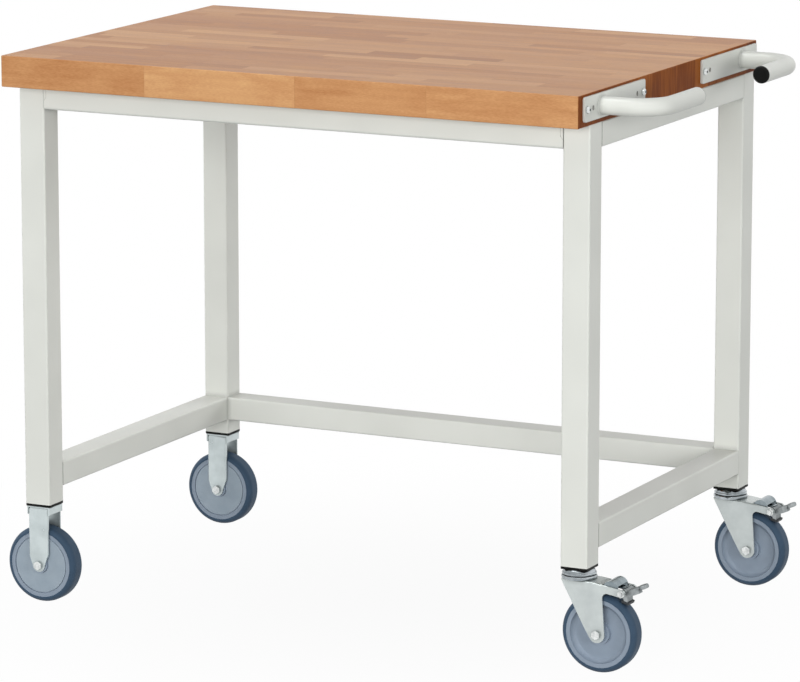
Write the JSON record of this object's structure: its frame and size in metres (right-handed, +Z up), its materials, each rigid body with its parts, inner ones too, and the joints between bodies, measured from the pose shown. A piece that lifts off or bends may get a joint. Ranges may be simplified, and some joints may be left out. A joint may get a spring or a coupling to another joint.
{
  "type": "mobile workbench",
  "caption": "Workbench with a thick beech worktop on a welded square-tube frame, push handles at one end, fixed casters at the other and braked swivel casters below the handles.",
  "frame": {"origin": "on the floor, under the middle of the bench's outer box", "axes": "+X along the bench to the end with the push handles, +Y to the back, +Z up"},
  "size_m": [1.1484, 0.7078, 0.9],
  "materials": {
    "beech": "oiled",
    "powder_coat": "fine satin powder coat",
    "zinc_screws": "bright zinc plated",
    "black_plastic": "moulded",
    "zinc_steel": "pressed and zinc plated",
    "bright_steel": "bright plated",
    "tread": "smooth elastomer",
    "wheel_plastic": "moulded",
    "cover_plastic": "moulded",
    "brake_steel": "satin zinc plated",
    "brake_lining": "moulded"
  },
  "bodies": {
    "bench": {"worktop": "beech", "front_left_leg": "powder_coat", "front_right_leg": "powder_coat", "rear_left_leg": "powder_coat", "rear_right_leg": "powder_coat", "left_upper_rail": "powder_coat", "right_upper_rail": "powder_coat", "left_lower_rail": "powder_coat", "right_lower_rail": "powder_coat", "rear_lower_rail": "powder_coat", "front_upper_rail": "powder_coat", "rear_upper_rail": "powder_coat", "rail_brackets": "powder_coat", "front_handle_plate": "powder_coat", "rear_handle_plate": "powder_coat", "front_handle_tube": "powder_coat", "rear_handle_tube": "powder_coat", "worktop_screws": "zinc_screws", "rail_screws": "zinc_screws", "handle_screws": "zinc_screws", "fixed_stems": "zinc_screws", "fixed_axles": "zinc_screws", "leg_plugs": "black_plastic", "handle_plugs": "black_plastic", "front_fixed_fork": "zinc_steel", "front_swivel_head": "bright_steel", "rear_fixed_fork": "zinc_steel", "rear_swivel_head": "bright_steel"},
    "front_fixed_wheel": {"front_fixed_tyre": "tread", "front_fixed_wheel_core": "wheel_plastic", "front_fixed_wheel_covers": "cover_plastic", "front_fixed_bearings": "zinc_screws"},
    "front_swivel_yoke": {"front_swivel_race": "bright_steel", "front_swivel_seal": "black_plastic", "front_swivel_fork": "zinc_steel", "front_swivel_axle": "zinc_screws", "front_swivel_brake_hood": "brake_steel", "front_swivel_brake_spring": "brake_steel", "front_swivel_brake_pin": "zinc_screws"},
    "front_swivel_wheel": {"front_swivel_tyre": "tread", "front_swivel_wheel_core": "wheel_plastic", "front_swivel_bearings": "zinc_screws"},
    "front_swivel_brake": {"front_swivel_brake_pedal": "brake_steel", "front_swivel_brake_shoe": "brake_lining"},
    "rear_fixed_wheel": {"rear_fixed_tyre": "tread", "rear_fixed_wheel_core": "wheel_plastic", "rear_fixed_wheel_covers": "cover_plastic", "rear_fixed_bearings": "zinc_screws"},
    "rear_swivel_yoke": {"rear_swivel_race": "bright_steel", "rear_swivel_seal": "black_plastic", "rear_swivel_fork": "zinc_steel", "rear_swivel_axle": "zinc_screws", "rear_swivel_brake_hood": "brake_steel", "rear_swivel_brake_spring": "brake_steel", "rear_swivel_brake_pin": "zinc_screws"},
    "rear_swivel_wheel": {"rear_swivel_tyre": "tread", "rear_swivel_wheel_core": "wheel_plastic", "rear_swivel_bearings": "zinc_screws"},
    "rear_swivel_brake": {"rear_swivel_brake_pedal": "brake_steel", "rear_swivel_brake_shoe": "brake_lining"}
  },
  "joints": [
    {"name": "front_fixed_wheel_spin", "type": "hinge", "parent": "bench", "child": "front_fixed_wheel", "pos_m": [-0.51175, -0.2814, 0.0625], "axis": [0, 1, 0], "continuous": true},
    {"name": "front_swivel_turn", "type": "hinge", "parent": "bench", "child": "front_swivel_yoke", "pos_m": [0.43825, -0.2814, 0.15], "axis": [0, 0, 1], "continuous": true},
    {"name": "front_swivel_wheel_spin", "type": "hinge", "parent": "front_swivel_yoke", "child": "front_swivel_wheel", "pos_m": [0.47725, -0.2814, 0.0625], "axis": [0, 1, 0], "continuous": true},
    {"name": "front_swivel_brake_press", "type": "hinge", "parent": "front_swivel_yoke", "child": "front_swivel_brake", "pos_m": [0.51845, -0.2814, 0.13107], "axis": [0, 1, 0], "range_deg": [0, 20]},
    {"name": "rear_fixed_wheel_spin", "type": "hinge", "parent": "bench", "child": "rear_fixed_wheel", "pos_m": [-0.51175, 0.3236, 0.0625], "axis": [0, 1, 0], "continuous": true},
    {"name": "rear_swivel_turn", "type": "hinge", "parent": "bench", "child": "rear_swivel_yoke", "pos_m": [0.43825, 0.3236, 0.15], "axis": [0, 0, 1], "continuous": true},
    {"name": "rear_swivel_wheel_spin", "type": "hinge", "parent": "rear_swivel_yoke", "child": "rear_swivel_wheel", "pos_m": [0.47725, 0.3236, 0.0625], "axis": [0, 1, 0], "continuous": true},
    {"name": "rear_swivel_brake_press", "type": "hinge", "parent": "rear_swivel_yoke", "child": "rear_swivel_brake", "pos_m": [0.51845, 0.3236, 0.13107], "axis": [0, 1, 0], "range_deg": [0, 20]}
  ]
}
